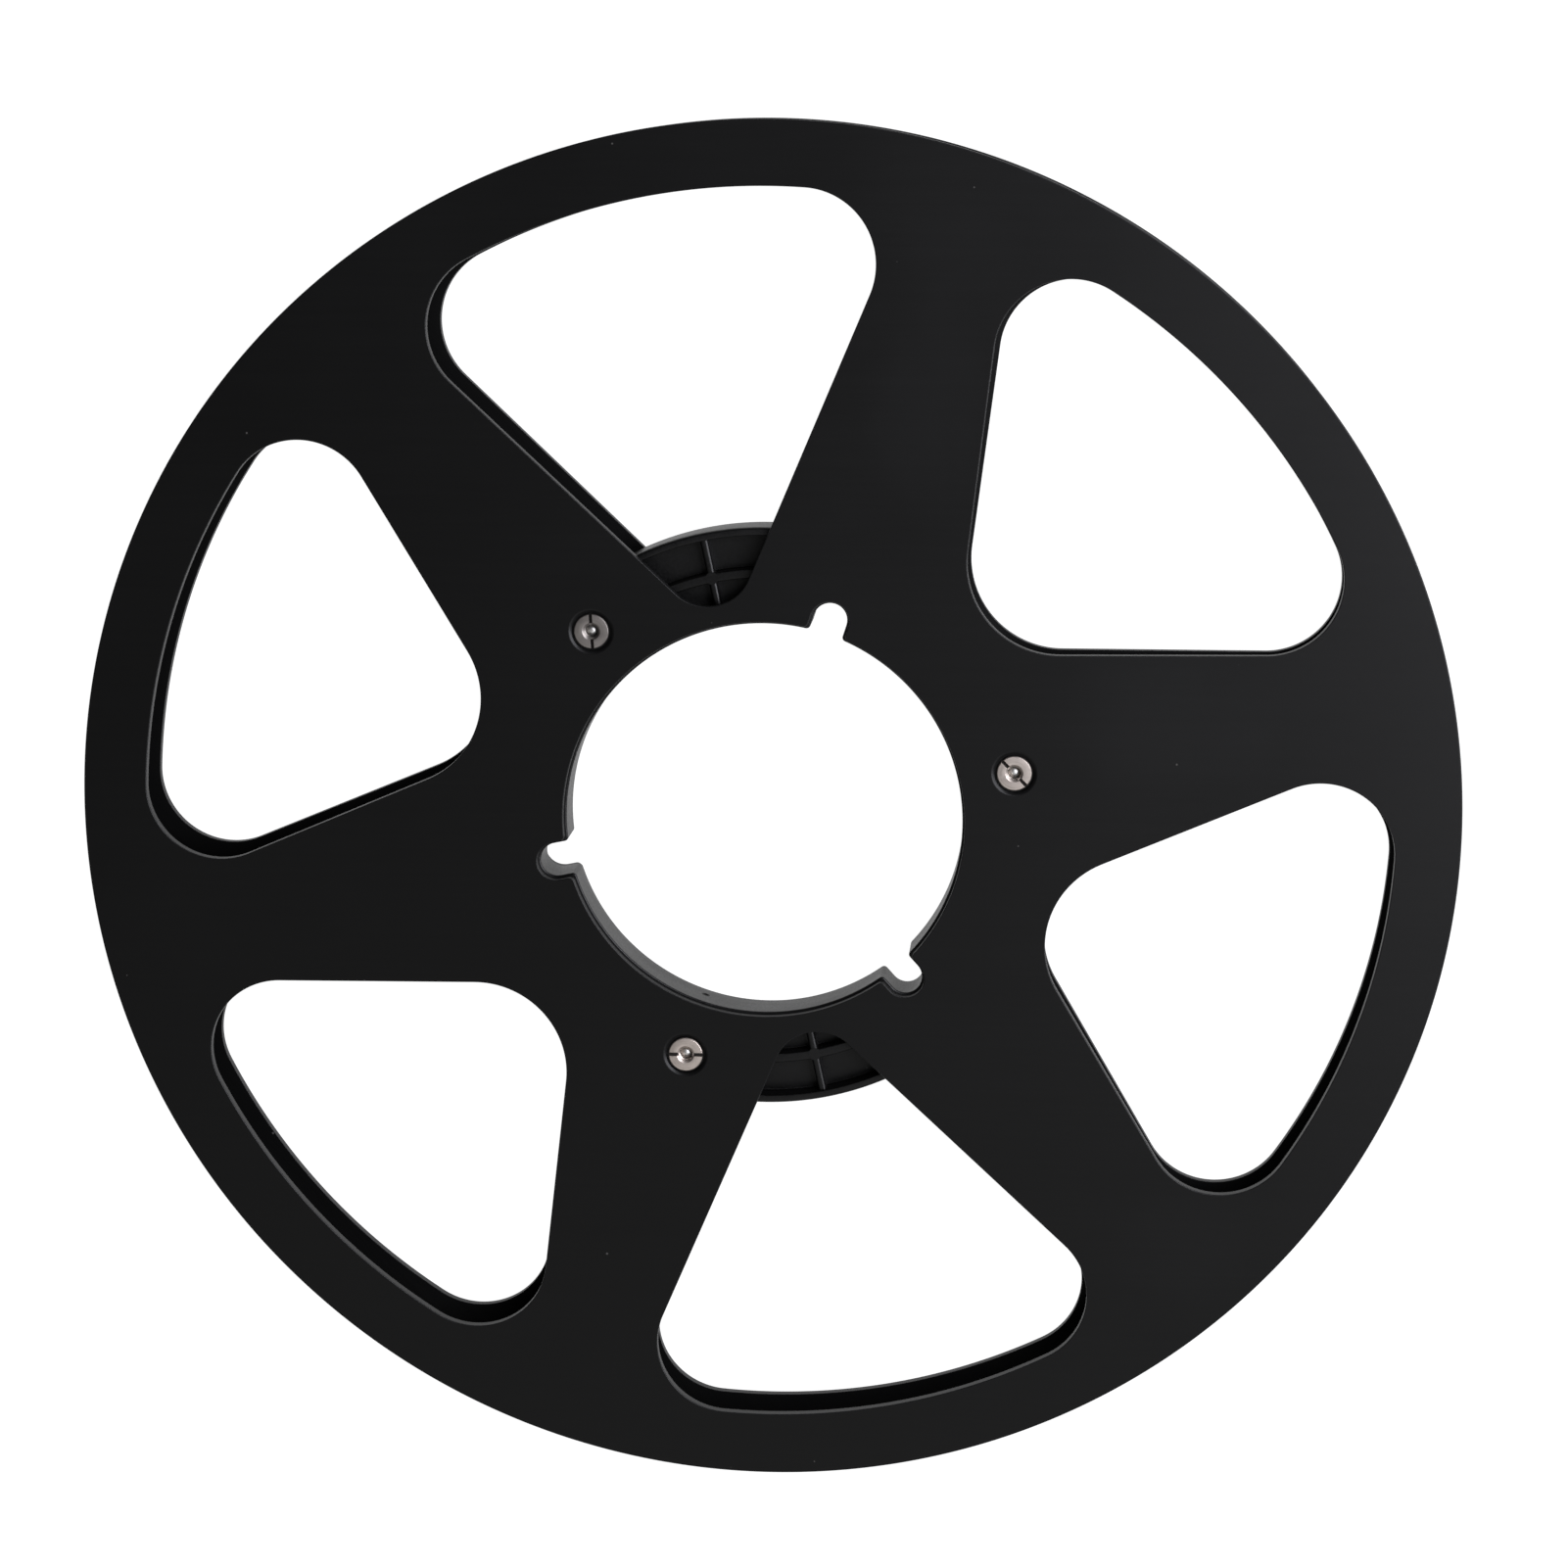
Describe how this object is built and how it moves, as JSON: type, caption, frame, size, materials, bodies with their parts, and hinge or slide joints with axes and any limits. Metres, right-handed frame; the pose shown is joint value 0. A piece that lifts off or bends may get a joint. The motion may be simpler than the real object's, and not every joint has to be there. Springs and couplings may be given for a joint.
{
  "type": "audio tape reel",
  "caption": "Large open-reel tape spool: thin black flanges with cut-out windows on a ribbed hub with a notched spindle bore, clamped by slotted screws and sleeve nuts.",
  "frame": {"origin": "on the axis of the spindle bore, at the outer face of the rear flange (z = 0), the reel lying flat", "axes": "+Z along the bore axis towards the front flange, where the slotted nuts are; +Y through the middle of one deep window; +X through the first fastener"},
  "size_m": [0.2666, 0.2666, 0.0127],
  "materials": {
    "flange": "black anodised with a fine straight brushed grain, bright satin cut edges",
    "hub": "moulded black plastic, satin",
    "nut": "turned and nickel plated, satin",
    "screw": "turned and nickel plated, satin"
  },
  "bodies": {
    "reel": {"front_flange": "flange", "rear_flange": "flange", "hub": "hub"},
    "screw_1": {"screw_1": "screw"},
    "sleeve_nut_1": {"sleeve_nut_1": "nut"},
    "screw_2": {"screw_2": "screw"},
    "sleeve_nut_2": {"sleeve_nut_2": "nut"},
    "screw_3": {"screw_3": "screw"},
    "sleeve_nut_3": {"sleeve_nut_3": "nut"}
  },
  "joints": [
    {"name": "screw_1_turn", "type": "hinge", "parent": "reel", "child": "screw_1", "pos_m": [0.04935, 0, 0.00635], "axis": [0, 0, -1], "range_deg": [0, 4680]},
    {"name": "nut_1_travel", "type": "slide", "parent": "reel", "child": "sleeve_nut_1", "axis": [0, 0, 1], "range_m": [0, 0.00585]},
    {"name": "screw_2_turn", "type": "hinge", "parent": "reel", "child": "screw_2", "pos_m": [-0.02467, 0.04274, 0.00635], "axis": [0, 0, -1], "range_deg": [0, 4680]},
    {"name": "nut_2_travel", "type": "slide", "parent": "reel", "child": "sleeve_nut_2", "axis": [0, 0, 1], "range_m": [0, 0.00585]},
    {"name": "screw_3_turn", "type": "hinge", "parent": "reel", "child": "screw_3", "pos_m": [-0.02467, -0.04274, 0.00635], "axis": [0, 0, -1], "range_deg": [0, 4680]},
    {"name": "nut_3_travel", "type": "slide", "parent": "reel", "child": "sleeve_nut_3", "axis": [0, 0, 1], "range_m": [0, 0.00585]}
  ],
  "couplings": [
    {"joint": "screw_1_turn", "follows": "nut_1_travel", "rad_per_m": 13963},
    {"joint": "screw_2_turn", "follows": "nut_2_travel", "rad_per_m": 13963},
    {"joint": "screw_3_turn", "follows": "nut_3_travel", "rad_per_m": 13963}
  ]
}
